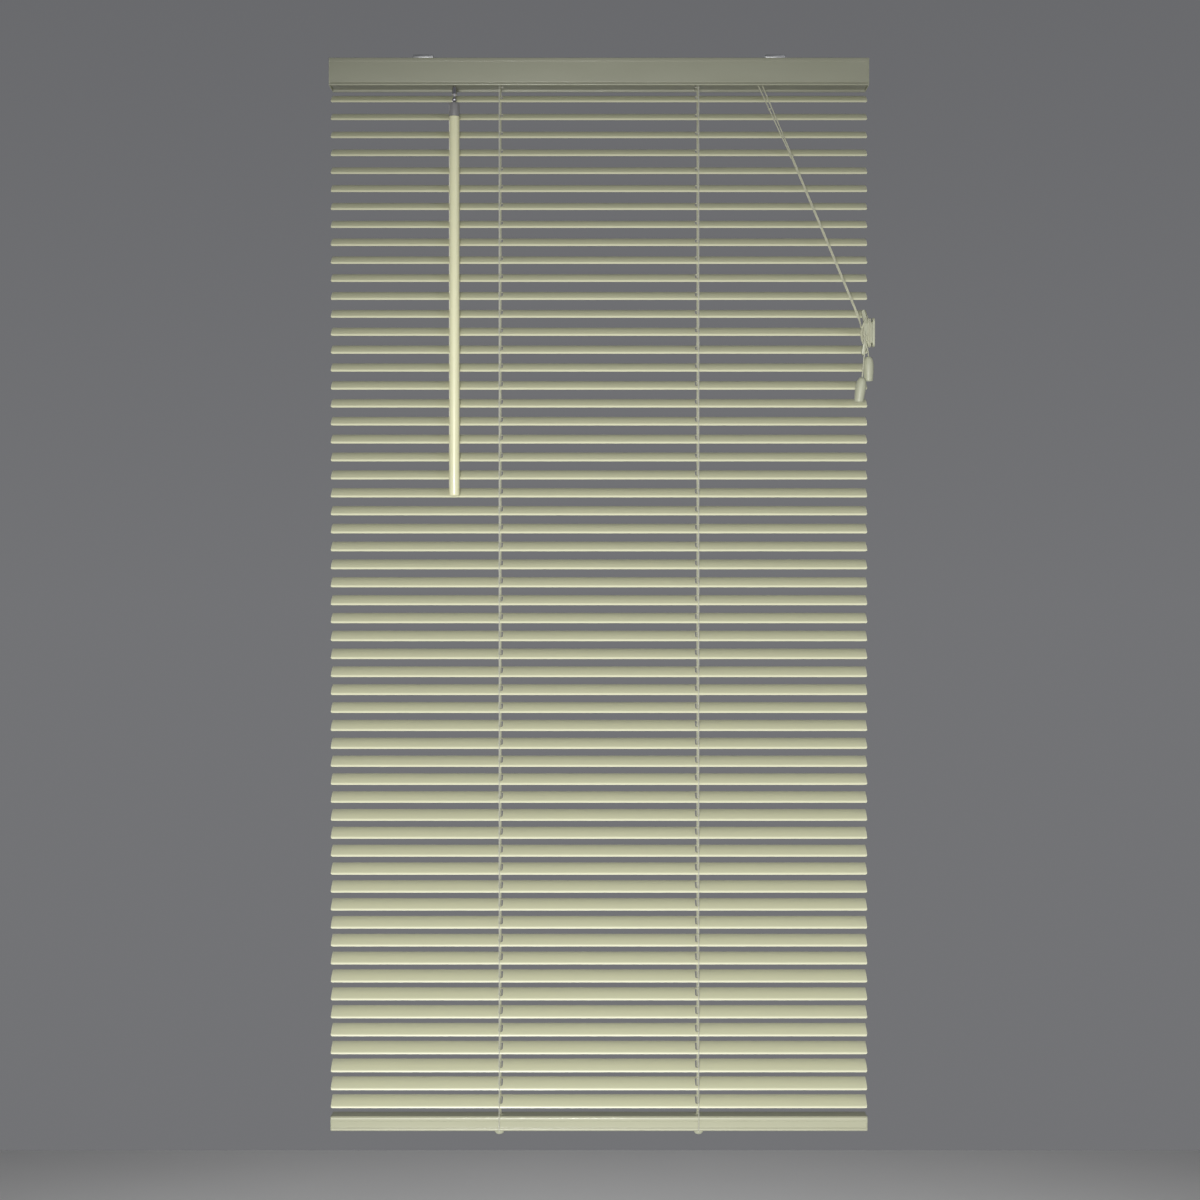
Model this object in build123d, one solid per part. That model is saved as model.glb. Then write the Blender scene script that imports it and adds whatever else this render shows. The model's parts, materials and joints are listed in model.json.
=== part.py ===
from build123d import *
import os
from math import asin, cos, pi, radians, sin, sqrt

# A venetian blind with 25 mm aluminium slats, hung from two ceiling clips, with a tilt wand on the
# left, two pull cords on the right and a cord cleat on the wall beside it.
# Millimetres, +Z up, +Y away from the room. The origin is midway between the two ceiling screws, on
# the ceiling. The slats and the tilt rod are centred on Y = 0.

# Slats
SLAT_COUNT = 57
SLAT_PITCH = 21.5
SLAT_LENGTH = 642.0
SLAT_CHORD = 25.0
SLAT_CROWN = 1.7
SLAT_THICKNESS = 0.25
SLAT_CORNER = 4.0
SLAT_TILT = 28.0           # front edge down, as hung
FIRST_SLAT_Z = -47.5
ROUTE_SLOT = (5.0, 14.0)   # the punched hole for the lift cord, along X and along Y

# Headrail, a rolled steel channel open at the top
RAIL_HALF = 321.0
RAIL_FRONT = -20.0
RAIL_REAR = 16.0
RAIL_TOP = -4.0
RAIL_FLOOR = -34.4         # underside of the floor
RAIL_BOTTOM = -37.0        # underside of the two beads
RAIL_LEDGE = -32.4         # top of the thick foot of each wall, inside
RAIL_WALL = 0.8
HEM = 1.6                  # two layers where the edge is folded over
HEM_HEIGHT = 4.5
BEAD = 2.4
GROOVE_HEIGHT = 1.6
FLANGE = 3.0               # turned in at the top, for the clips
CAP_PLATE = 1.0

# Bottom rail, a rolled steel tube
BOTTOM_HALF = 320.0
BOTTOM_TOP = -1268.0
BOTTOM_LOW = -1285.5
BOTTOM_HALF_DEPTH = 12.3
BOTTOM_WALL = 0.9
BOTTOM_BEAD_OUT = 0.7

# Ladders and lift cords
CORD_X = 118.0             # each lift cord, and the punched hole that it runs through
LADDER_X = 119.3           # each ladder runs just outside its lift cord
LADDER_FRONT = -11.8
LADDER_REAR = 12.5
LADDER_CORD = 1.0
CORD_RADIUS = 0.7
BUTTON_Y = -6.0
BUTTON_RADIUS = 5.8
BUTTON_DROP = 5.0

# Tilt rod, drums and cradles
ROD_Z = -19.0
ROD_RADIUS = 3.0
ROD_START = -186.0
ROD_END = 132.0
RUNNING = 0.1              # radial play of everything that turns
DRUM_RADIUS = 7.0
DRUM_FLANGE = 8.0
DRUM_HALF = 5.7
CRADLE_INNER = 7.2
CRADLE_WALL = 1.5
CRADLE_HALF_DEPTH = 9.0

# Tilter: a worm on a slanted spindle that turns a gear on the rod
TILTER_X = -172.5
TILTER_HALF = 11.0
CENTRES = 10.0             # rod to spindle
SPINDLE_SLANT = 15.0
GEAR_TEETH = 16
GEAR_TIP = 6.0
GEAR_ROOT = 4.8
WORM_TIP = 3.7
WORM_ROOT = 2.6
WORM_PITCH = 2.0
SPINDLE_RADIUS = 2.0
SLEEVE_RADIUS = 3.0
NECK_RADIUS = 1.0
BALL_RADIUS = 2.2
BALL_DOWN = 38.4           # along the spindle, from the mesh to the ball
HOUSING_WALL = 1.2

# Wand
WAND_RADIUS = 6.25
COLLAR_TOP = -58.5
COLLAR_LOW = -74.6
WAND_LOW = -526.8

# Cord lock
LOCK_X = 193.0
LOCK_HALF = 12.0
LOCK_PIN = (-4.0, -19.0)
LOCK_PIN_RADIUS = 1.5
EXIT_Y = -15.0
EXIT_X_RIGHT = 190.5       # the right ladder's lift cord
EXIT_X_LEFT = 195.3        # the left ladder's lift cord

# Ceiling clips
CLIP_X = 210.0
CLIP_HALF = 12.0
CLIP_PLATE = 1.2
SCREW_HOLE = 2.1
STUD_Y = 6.0

# Cleat and the free ends of the cords
WALL_X = 326.3
CLEAT_Y = -32.0
CLEAT_Z = -333.5
CLEAT_HORN = 26.5
CLEAT_TIP = 311.0          # outermost edge of each horn's tip
CLEAT_SADDLE = 314.5       # outer face between the horns
CLEAT_SCREW = 9.0          # each screw hole above or below the cleat's centre
JOIN_KNOT = (229.4, -20.4, -121.8)
SMALL_KNOT_SHARE = 0.33    # how far the small knot is along the right cord, from exit to joining knot
CLEAT_ENTRY = (308.6, -32.0, -317.0)
PAIR_GAP = 0.75            # half the distance between the two cords where they run together
TASSEL_LENGTH = 28.5
TASSEL_A = (319.8, -30.0, -362.0)
TASSEL_B = (311.0, -39.5, -388.0)
TASSEL_LEAN = 8.0

parts = {}


def block(x, y, z):
    """A box from three (low, high) pairs."""
    size = [high - low for low, high in (x, y, z)]
    middle = [(high + low) / 2 for low, high in (x, y, z)]
    return Pos(*middle) * Box(*size)


def strip(y, z, corner=0.0):
    """A flat rectangle of a rail's section, in the Y-Z plane, as (low, high) pairs."""
    width, height = y[1] - y[0], z[1] - z[0]
    shape = RectangleRounded(width, height, corner) if corner else Rectangle(width, height)
    return Pos((y[0] + y[1]) / 2, (z[0] + z[1]) / 2) * shape


def along_x(section, half):
    """A section drawn as (Y, Z), extruded to both sides of X = 0."""
    return extrude(Plane.YZ * section, amount=half, both=True)


def rod_x(radius, x, y, z):
    """A round bar along X between a (low, high) pair."""
    middle = (x[0] + x[1]) / 2
    return Pos(middle, y, z) * Rot(0, 90, 0) * Cylinder(radius, x[1] - x[0])


def rod_z(radius, x, y, z):
    """A round bar along Z between a (low, high) pair."""
    return Pos(x, y, (z[0] + z[1]) / 2) * Cylinder(radius, z[1] - z[0])


def turned(outline):
    """A solid of revolution about Z from (radius, height) points."""
    return revolve(make_face(Plane.XZ * Polyline(*outline, close=True)), Axis.Z)


def tube(points, radii, radius=CORD_RADIUS):
    """A round cord along straight runs joined by arcs, with one arc radius for each inner point."""
    path = FilletPolyline(*points, radius=radii) if radii else Line(*points)
    section = Plane(origin=path @ 0, z_dir=path % 0) * Circle(radius)
    return sweep(section, path=path)


def taut_radii(points):
    """The largest arc that each pair of runs allows, at each inner point."""
    radii = []
    for a, b, c in zip(points, points[1:], points[2:]):
        first, second = Vector(*b) - Vector(*a), Vector(*c) - Vector(*b)
        half_turn = radians(first.get_angle(second)) / 2
        radii.append(0.45 * min(first.length, second.length) * cos(half_turn) / sin(half_turn))
    return radii


# ---------------------------------------------------------------- slats

def slat_at_origin():
    """One slat about its own tilt axis, which runs midway between its edges and its crown."""
    half = SLAT_CHORD / 2
    radius = (half**2 + SLAT_CROWN**2) / (2 * SLAT_CROWN)
    centre = SLAT_CROWN / 2 - radius
    reach = asin(half / radius)

    def on_arc(r, angle):
        return (r * sin(angle), centre + r * cos(angle))

    outer, inner = radius + SLAT_THICKNESS / 2, radius - SLAT_THICKNESS / 2
    top = ThreePointArc(*(on_arc(outer, a) for a in (-reach, 0, reach)))
    low = ThreePointArc(*(on_arc(inner, a) for a in (reach, 0, -reach)))
    edges = [Line(top @ 1, low @ 0), Line(low @ 1, top @ 0)]
    shell = along_x(make_face([top, low, *edges]), SLAT_LENGTH / 2)
    outline = RectangleRounded(SLAT_LENGTH, 2 * outer * sin(reach), SLAT_CORNER)
    shell &= extrude(outline, amount=5, both=True)
    for x in (-CORD_X, CORD_X):
        slot = Pos(x, 0) * RectangleRounded(*ROUTE_SLOT, ROUTE_SLOT[0] / 2 - 0.01)
        shell -= extrude(slot, amount=5, both=True)
    return Rot(SLAT_TILT, 0, 0) * shell


def slat_z(number):
    return FIRST_SLAT_Z - (number - 1) * SLAT_PITCH


def make_slats():
    """Even slats are nodes of their own, and the odd ones between them share a node."""
    one = slat_at_origin()
    placed = {n: Pos(0, 0, slat_z(n)) * one for n in range(1, SLAT_COUNT + 1)}
    for n in range(2, SLAT_COUNT + 1, 2):
        parts[f"slat_{n:02d}"] = placed[n]
    parts["slats_odd"] = Compound([placed[n].solid() for n in range(1, SLAT_COUNT + 1, 2)])


# ---------------------------------------------------------------- headrail

def headrail_side(front):
    """One wall of the channel, from its turned-in flange to its bead, as a section."""
    outer = RAIL_FRONT if front else -RAIL_REAR
    hem = (outer, outer + HEM)
    wall = (outer + RAIL_WALL, outer + HEM)
    groove_top = RAIL_BOTTOM + BEAD + GROOVE_HEIGHT
    side = strip(hem, (RAIL_TOP - HEM_HEIGHT, RAIL_TOP))
    side += strip((outer, outer + HEM + FLANGE), (RAIL_TOP - RAIL_WALL, RAIL_TOP))
    side += strip(wall, (groove_top, RAIL_TOP - 1))
    side += strip((outer + HEM - 0.2, outer + HEM + 0.8), (RAIL_BOTTOM + 1, RAIL_LEDGE))
    side += strip((outer, outer + BEAD), (RAIL_BOTTOM, RAIL_BOTTOM + BEAD), 1.0)
    return side if front else mirror(side, Plane.YZ)


def make_headrail():
    floor = strip((RAIL_FRONT + HEM, RAIL_REAR - HEM), (RAIL_FLOOR, RAIL_FLOOR + RAIL_WALL))
    rail = along_x(headrail_side(True) + headrail_side(False) + floor, RAIL_HALF)
    through = (RAIL_FLOOR - 1, RAIL_FLOOR + 2)
    for x in (-CORD_X, CORD_X):
        rail -= block((x - 3, x + 3), (LADDER_FRONT - 1.5, LADDER_REAR + 0.9), through)
    spindle_hole = Pos(TILTER_X, -14.3, RAIL_FLOOR) * Cylinder(3.2, 4)
    rail -= spindle_hole
    rail -= block((EXIT_X_RIGHT - 2.5, EXIT_X_LEFT + 2.5), (EXIT_Y - 1.7, EXIT_Y + 1.7), through)
    parts["headrail"] = rail


def make_end_caps():
    """A flat plate over each end of the headrail, with a collar that plugs into the channel."""
    play = 0.1
    plate = block(
        (RAIL_HALF, RAIL_HALF + CAP_PLATE), (RAIL_FRONT, RAIL_REAR), (RAIL_BOTTOM, RAIL_TOP)
    )
    plate = fillet(plate.edges().filter_by(Axis.X), 1.0)
    outer_y = (RAIL_FRONT + HEM + play, RAIL_REAR - HEM - play)
    outer_z = (RAIL_LEDGE + play, RAIL_TOP - HEM_HEIGHT)
    collar = block((RAIL_HALF - 5, RAIL_HALF), outer_y, outer_z)
    collar -= block(
        (RAIL_HALF - 6, RAIL_HALF),
        (outer_y[0] + 1, outer_y[1] - 1),
        (outer_z[0] + 1, outer_z[1] + 1),
    )
    cap = plate + collar
    parts["end_cap_right"] = cap
    parts["end_cap_left"] = mirror(cap, Plane.YZ)


def clip_lever():
    """The cam that turns under the headrail's rear flange, about its stud at X = Y = 0."""
    reach = 6.0
    cam = Cylinder(4.0, 1.3) + Pos(0, reach / 2) * Box(5.0, reach, 1.3)
    cam += Pos(0, reach - 0.6) * Cylinder(2.5, 1.3) + Pos(0, -4.5) * Box(4.0, 6.0, 1.3)
    cam += Pos(0, -7.0, -1.8) * Box(4.0, 1.2, 3.0)
    return Pos(0, 0, -5.75) * (cam - Cylinder(2.4 + RUNNING, 4))


def make_clips():
    """Two spring clips under the ceiling. Each grips the front flange, and a lever holds the rear one."""
    flange_y = (RAIL_FRONT + HEM + FLANGE, RAIL_REAR - HEM - FLANGE)
    clips = []
    for x, side in ((-CLIP_X, "left"), (CLIP_X, "right")):
        wide = (x - CLIP_HALF, x + CLIP_HALF)
        plate = block(wide, (-17.6, 14.4), (-CLIP_PLATE, 0))
        plate += block(wide, (-17.6, -16.4), (-3.9, 0)) + block(wide, (13.2, 14.4), (-3.9, 0))
        plate += block(wide, (flange_y[0] + 0.3, flange_y[0] + 1.5), (-6.3, 0))
        plate += block(wide, (-17.6, flange_y[0] + 1.5), (-6.3, -5.1))
        plate -= Pos(x, 0, 0) * Cylinder(SCREW_HOLE, 4)
        stud = rod_z(2.4, x, STUD_Y, (-7.2, -CLIP_PLATE)) + rod_z(3.2, x, STUD_Y, (-5.0, -CLIP_PLATE))
        stud += rod_z(3.2, x, STUD_Y, (-8.0, -6.6))
        clips.append((plate + stud).solid())
        parts[f"clip_lever_{side}"] = Pos(x, STUD_Y, 0) * clip_lever()
    parts["ceiling_clips"] = Compound(clips)


# ---------------------------------------------------------------- tilt mechanism

SLANT = radians(SPINDLE_SLANT)
MESH_Y = -CENTRES * cos(SLANT)
MESH_Z = ROD_Z + CENTRES * sin(SLANT)
SPINDLE_FRAME = Pos(TILTER_X, MESH_Y, MESH_Z) * Rot(-SPINDLE_SLANT, 0, 0)
BALL_Y = MESH_Y - BALL_DOWN * sin(SLANT)
BALL_Z = MESH_Z - BALL_DOWN * cos(SLANT)


def make_tilt_shaft():
    parts["tilt_rod"] = rod_x(ROD_RADIUS, (ROD_START, ROD_END), 0, ROD_Z)
    drums = []
    for x in (-CORD_X, CORD_X):
        drum = rod_x(DRUM_RADIUS, (x - DRUM_HALF, x + DRUM_HALF), 0, ROD_Z)
        for end in (x - DRUM_HALF, x + DRUM_HALF - 1.2):
            drum += rod_x(DRUM_FLANGE, (end, end + 1.2), 0, ROD_Z)
        drums.append((drum - rod_x(ROD_RADIUS, (x - 9, x + 9), 0, ROD_Z)).solid())
    parts["ladder_drums"] = Compound(drums)
    parts["worm_gear"] = worm_gear()


def worm_gear():
    """A spur wheel on the rod. Its tips stop just short of the worm's thread."""
    outline = []
    for tooth in range(GEAR_TEETH):
        for share, radius in ((0.0, GEAR_ROOT), (0.30, GEAR_ROOT), (0.42, GEAR_TIP), (0.88, GEAR_TIP)):
            angle = 2 * pi * (tooth + share) / GEAR_TEETH
            outline.append((radius * cos(angle), radius * sin(angle)))
    face = make_face(Polyline(*outline, close=True))
    wheel = Pos(TILTER_X, 0, ROD_Z) * along_x(face, 3.0)
    return wheel - rod_x(ROD_RADIUS, (TILTER_X - 5, TILTER_X + 5), 0, ROD_Z)


def make_cradles():
    cradles = []
    for x in (-CORD_X, CORD_X):
        outer = CRADLE_INNER + CRADLE_WALL
        floor = RAIL_FLOOR + RAIL_WALL
        deep = (-CRADLE_HALF_DEPTH, CRADLE_HALF_DEPTH)
        cradle = block((x - outer, x + outer), deep, (floor, floor + 1.0))
        cradle -= block((x - 4, x + 4), (-4, 4), (floor - 1, floor + 2))
        for low in (x - outer, x + CRADLE_INNER):
            cradle += block((low, low + CRADLE_WALL), deep, (floor, -13.0))
        cradle -= rod_x(ROD_RADIUS + RUNNING, (x - 12, x + 12), 0, ROD_Z)
        cradles.append(cradle.solid())
    parts["drum_cradles"] = Compound(cradles)


def make_tilter():
    wide = (TILTER_X - TILTER_HALF, TILTER_X + TILTER_HALF)
    deep = (-17.4, 9.5)
    high = (RAIL_FLOOR + RAIL_WALL + 0.1, -6.6)
    wall = HOUSING_WALL
    housing = block(wide, deep, high)
    housing -= block(
        (wide[0] + wall, wide[1] - wall), (deep[0] + wall, deep[1] - wall), (high[0] + wall, 0)
    )
    housing += SPINDLE_FRAME * Pos(0, 0, 9.2) * Box(2 * TILTER_HALF - 0.4, 7.0, 1.2)
    housing -= rod_x(ROD_RADIUS + RUNNING, (wide[0] - 1, wide[1] + 1), 0, ROD_Z)
    housing -= SPINDLE_FRAME * Pos(0, 0, 10) * Cylinder(1.8 + RUNNING, 6)
    housing -= SPINDLE_FRAME * Pos(0, 0, -17) * Cylinder(SPINDLE_RADIUS + RUNNING, 10)
    parts["tilter_housing"] = housing
    parts["tilter_worm"] = SPINDLE_FRAME * worm_spindle()


def worm_spindle():
    """The spindle about its own axis, with Z = 0 where the worm meets the gear."""
    outline = [(0, 10.4), (1.8, 10.4), (1.8, 8.2), (WORM_ROOT, 8.2)]
    thread_top = 3.5 * WORM_PITCH
    for turn in range(8):
        z = thread_top - turn * WORM_PITCH
        outline += [(WORM_ROOT, z + 0.6), (WORM_TIP, z + 0.2), (WORM_TIP, z - 0.2), (WORM_ROOT, z - 0.6)]
    outline += [(WORM_ROOT, -8.4), (SPINDLE_RADIUS, -8.4), (SPINDLE_RADIUS, -24.0)]
    outline += [(SLEEVE_RADIUS, -24.0), (SLEEVE_RADIUS, -33.0), (NECK_RADIUS, -35.4)]
    neck_end = -BALL_DOWN + sqrt(BALL_RADIUS**2 - NECK_RADIUS**2) - 0.3
    outline += [(NECK_RADIUS, neck_end), (0, neck_end)]
    return turned(outline) + Pos(0, 0, -BALL_DOWN) * Sphere(BALL_RADIUS)


# ---------------------------------------------------------------- wand

def make_wand():
    """A cup under the spindle's ball carries a swivel pin, and the collar and wand turn on that."""
    cup = Sphere(3.1) - Sphere(BALL_RADIUS + RUNNING)
    cup -= Pos(0, 0, 5 - 0.4) * Box(10, 10, 10)
    at_ball = Pos(TILTER_X, BALL_Y, BALL_Z)
    stem = rod_z(1.5, TILTER_X, BALL_Y, (-66.0, BALL_Z - BALL_RADIUS - 0.5))
    stem += rod_z(2.6, TILTER_X, BALL_Y, (-66.0, -64.6))
    parts["wand_hook"] = at_ball * cup + stem
    collar = rod_z(WAND_RADIUS, TILTER_X, BALL_Y, (COLLAR_LOW, COLLAR_TOP))
    collar = fillet(collar.edges().filter_by(GeomType.CIRCLE).group_by(Axis.Z)[-1], 1.0)
    collar -= rod_z(1.5 + RUNNING, TILTER_X, BALL_Y, (-63.0, COLLAR_TOP + 1))
    collar -= rod_z(2.8, TILTER_X, BALL_Y, (-67.0, -62.8))
    parts["wand_collar"] = collar
    wand = rod_z(WAND_RADIUS, TILTER_X, BALL_Y, (WAND_LOW, COLLAR_LOW))
    parts["wand"] = fillet(wand.edges().filter_by(GeomType.CIRCLE).group_by(Axis.Z)[0], 2.0)


# ---------------------------------------------------------------- cord lock

def make_cord_lock():
    wide = (LOCK_X - LOCK_HALF, LOCK_X + LOCK_HALF)
    deep = (-17.4, 9.5)
    high = (RAIL_FLOOR + RAIL_WALL + 0.1, -9.8)
    wall = HOUSING_WALL
    inner = (wide[0] + wall, wide[1] - wall)
    body = block(wide, deep, high)
    body -= block(inner, (deep[0] + wall, deep[1] - wall), (high[0] + wall, 0))
    cords = (EXIT_X_RIGHT - 2, EXIT_X_LEFT + 2)
    body -= block(cords, (EXIT_Y - 1.2, EXIT_Y + 1.4), (high[0] - 1, high[0] + 3))
    body -= block(cords, (deep[1] - wall - 1, deep[1] + 1), (high[0] + wall, -26.5))
    pin = rod_x(LOCK_PIN_RADIUS, wide, *LOCK_PIN)
    parts["cord_lock_body"] = body - pin
    parts["cord_lock_pin"] = pin
    y, z = LOCK_PIN
    nose = [(y - 3.5, z), (y + 3.5, z), (y + 2.0, z - 8.0), (y + 1.0, z - 8.6), (y - 2.6, z - 8.4)]
    jaw = make_face(Polyline(*nose, close=True)) + Pos(y, z) * Circle(4.2)
    pawl = Pos(LOCK_X, 0, 0) * along_x(jaw, 9.5)
    parts["cord_lock_pawl"] = pawl - rod_x(LOCK_PIN_RADIUS + RUNNING, wide, *LOCK_PIN)


# ---------------------------------------------------------------- ladders and lift cords

def ladder():
    """One string ladder at X = 0: two uprights, and a rung under each slat. It turns under the rail."""
    front = [
        (-7.7, -20), (LADDER_FRONT, -33), (LADDER_FRONT, -1256), (-14.0, -1266),
        (-14.0, -1286.5), (-12.6, -1286.5),
    ]
    rear = [
        (7.7, -20), (LADDER_REAR, -33), (LADDER_REAR, -1256), (14.0, -1266),
        (14.0, -1286.5), (12.6, -1286.5),
    ]
    uprights = [
        along_x(trace(Polyline(*side), line_width=LADDER_CORD), LADDER_CORD / 2)
        for side in (front, rear)
    ]
    rung = Rot(SLAT_TILT, 0, 0) * block((-0.4, 0.4), (-13.6, 13.2), (-1.9, -1.1))
    rungs = [Pos(0, 0, slat_z(n)) * rung for n in range(1, SLAT_COUNT + 1)]
    return uprights[0].fuse(uprights[1], *rungs)


def make_ladders():
    one = ladder()
    parts["ladder_left"] = Pos(-LADDER_X, 0, 0) * one
    parts["ladder_right"] = Pos(LADDER_X, 0, 0) * one


def make_lift_cords():
    """From inside the bottom rail up through the slats, along the headrail and out of the cord lock."""
    run_y = 13.6
    cords = []
    for x, exit_x, z in ((-CORD_X, EXIT_X_LEFT, -31.0), (CORD_X, EXIT_X_RIGHT, -29.0)):
        route = [
            (x, 0, BOTTOM_TOP - 9), (x, 0, z), (x + 6, run_y, z), (exit_x, run_y, z),
            (exit_x, EXIT_Y, z), (exit_x, EXIT_Y, RAIL_BOTTOM),
        ]
        cords.append(tube(route, [2.5] * 4).solid())
    parts["lift_cords"] = Compound(cords)


# ---------------------------------------------------------------- bottom rail

def make_bottom_rail():
    section = strip((-BOTTOM_HALF_DEPTH, BOTTOM_HALF_DEPTH), (BOTTOM_LOW, BOTTOM_TOP), 2.4)
    for side in (-1, 1):
        out = side * (BOTTOM_HALF_DEPTH + BOTTOM_BEAD_OUT)
        y = tuple(sorted((out, out - side * 2.4)))
        section += strip(y, (BOTTOM_TOP - 5.6, BOTTOM_TOP - 0.6), 1.1)
        section += strip(y, (BOTTOM_LOW + 0.2, BOTTOM_LOW + 3.0), 1.1)
    inner = BOTTOM_HALF_DEPTH - BOTTOM_WALL
    section -= strip((-inner, inner), (BOTTOM_LOW + BOTTOM_WALL, BOTTOM_TOP - BOTTOM_WALL), 1.6)
    rail = along_x(section, BOTTOM_HALF)
    for side in (-1, 1):
        rail -= Pos(side * CORD_X, 0, BOTTOM_TOP) * Cylinder(2.5, 4)
        rail -= Pos(side * LADDER_X, BUTTON_Y, BOTTOM_LOW) * Cylinder(3.0, 4)
    parts["bottom_rail"] = rail

    deep = BOTTOM_HALF_DEPTH + BOTTOM_BEAD_OUT
    plate = block((BOTTOM_HALF, BOTTOM_HALF + CAP_PLATE), (-deep, deep), (BOTTOM_LOW, BOTTOM_TOP))
    plate = fillet(plate.edges().filter_by(Axis.X), 2.0)
    low, high = BOTTOM_LOW + BOTTOM_WALL + 0.1, BOTTOM_TOP - BOTTOM_WALL - 0.1
    plug = block((BOTTOM_HALF - 8, BOTTOM_HALF), (-inner + 0.1, inner - 0.1), (low, high))
    plug = fillet(plug.edges().filter_by(Axis.X), 1.7)
    cap = (plate + plug).solid()
    parts["bottom_rail_caps"] = Compound([cap, mirror(cap, Plane.YZ).solid()])

    buttons = []
    for x in (-LADDER_X, LADDER_X):
        dome = Sphere(BUTTON_RADIUS) & Pos(0, 0, -6) * Box(20, 20, 12)
        dome = scale(dome, by=(1, 0.8, BUTTON_DROP / BUTTON_RADIUS))
        button = Pos(x, BUTTON_Y, BOTTOM_LOW) * dome + rod_z(3.0, x, BUTTON_Y, (BOTTOM_LOW, BOTTOM_LOW + 4))
        buttons.append(button.solid())
    parts["ladder_buttons"] = Compound(buttons)


# ---------------------------------------------------------------- cleat and free cords

def cleat_side(play):
    """Both horns from the side, as (X, Z): a saddle with its tips turned out, made bigger by some play."""
    half = [
        (CLEAT_SADDLE - play, 0), (CLEAT_SADDLE - play, 9), (CLEAT_TIP - play, CLEAT_HORN - 2),
        (CLEAT_TIP + 1.5, CLEAT_HORN + play), (CLEAT_TIP + 3.2, CLEAT_HORN + play),
        (CLEAT_SADDLE + 4 + play, 12), (CLEAT_SADDLE + 4 + play, 0),
    ]
    outline = half + [(x, -z) for x, z in reversed(half[1:-1])]
    return make_face(Polyline(*[(x, CLEAT_Z + z) for x, z in outline], close=True))


def make_cleat():
    y, z = CLEAT_Y, CLEAT_Z
    base = block((WALL_X - 2.5, WALL_X), (y - 7, y + 7), (z - 17, z + 17))
    base = fillet(base.edges().filter_by(Axis.X), 5.0)
    stem = block((CLEAT_SADDLE, WALL_X - 2.5), (y - 4, y + 4), (z - 13, z + 13))
    stem = fillet(stem.edges().filter_by(Axis.X), 3.0)
    horns = extrude(Plane.XZ * cleat_side(0), amount=3.5, both=True)
    cleat = base + stem + Pos(0, y, 0) * horns
    for dz in (-CLEAT_SCREW, CLEAT_SCREW):
        cleat -= Pos(WALL_X - 8, y, z + dz) * Rot(0, 90, 0) * Cylinder(1.8, 24)
    parts["cleat"] = cleat


def make_free_cords():
    """The two cords from the lock to the joining knot, on to the cleat, round it, and to their tassels."""
    for name, exit_x, dy in (
        ("pull_cord_right", EXIT_X_RIGHT, -PAIR_GAP), ("pull_cord_left", EXIT_X_LEFT, PAIR_GAP),
    ):
        knot = (JOIN_KNOT[0], JOIN_KNOT[1] + dy, JOIN_KNOT[2])
        entry = (CLEAT_ENTRY[0], CLEAT_ENTRY[1] + dy, CLEAT_ENTRY[2])
        route = [(exit_x, EXIT_Y, RAIL_BOTTOM), knot, entry]
        radii = taut_radii(route)
        print(name, "arc radii", [round(r) for r in radii])
        parts[name] = tube(route, radii)

    share = SMALL_KNOT_SHARE
    start = (EXIT_X_RIGHT, EXIT_Y, RAIL_BOTTOM)
    small = [a + (b - a) * share for a, b in zip(start, JOIN_KNOT)]
    parts["cord_knots"] = Compound([
        (Pos(*JOIN_KNOT) * Sphere(2.7)).solid(), (Pos(*small) * Sphere(1.9)).solid(),
    ])

    y, z = CLEAT_Y, CLEAT_Z
    play = 0.3
    winding = block((308.8, 323.0), (y - 8.5, y + 8.5), (z - 22.5, z + 22.5))
    winding = fillet(winding.edges().filter_by(Axis.X), 7.5)
    winding -= block((CLEAT_SADDLE - play, 324), (y - 4 - play, y + 4 + play), (z - 13 - play, z + 13 + play))
    winding -= Pos(0, y, 0) * extrude(Plane.XZ * cleat_side(play), amount=3.5 + play, both=True)
    winding -= block((300, CLEAT_SADDLE), (y - 3.8, y + 3.8), (z - 13.3, z + 13.3))
    parts["cord_winding"] = winding

    tail_top = z - 22.0
    tails = []
    for top, tassel in (((TASSEL_A[0], y + 2.0), TASSEL_A), ((313.0, y - 6.0), TASSEL_B)):
        route = [(*top, tail_top), tassel]
        tails.append(tube(route, []).solid())
    parts["cord_tails"] = Compound(tails)
    parts["tassels"] = Compound([
        (Pos(*TASSEL_A) * bell()).solid(), (Pos(*TASSEL_B) * Rot(0, TASSEL_LEAN, 0) * bell()).solid(),
    ])


def bell():
    """A hollow plastic tassel shaped like a barrel, hanging from Z = 0."""
    low = -TASSEL_LENGTH
    outline = [
        (0, 0), (2.8, 0), (4.4, -1.8), (5.6, -5.5), (6.15, -10), (6.15, -15), (5.8, -22),
        (5.2, low + 0.6), (4.8, low), (3.9, low), (4.2, -21), (4.5, -15), (4.4, -10), (3.4, -7), (0, -7),
    ]
    return turned(outline)


make_slats()
make_headrail()
make_end_caps()
make_clips()
make_tilt_shaft()
make_cradles()
make_tilter()
make_wand()
make_cord_lock()
make_ladders()
make_lift_cords()
make_bottom_rail()
make_cleat()
make_free_cords()

os.makedirs("parts", exist_ok=True)
for name, shape in parts.items():
    export_step(shape, f"parts/{name}.step")
print(len(parts), "nodes")
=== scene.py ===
import json
from math import copysign, cos, pi, radians, sin, tan

import bmesh
import bpy
from mathutils import Matrix, Vector

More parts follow.
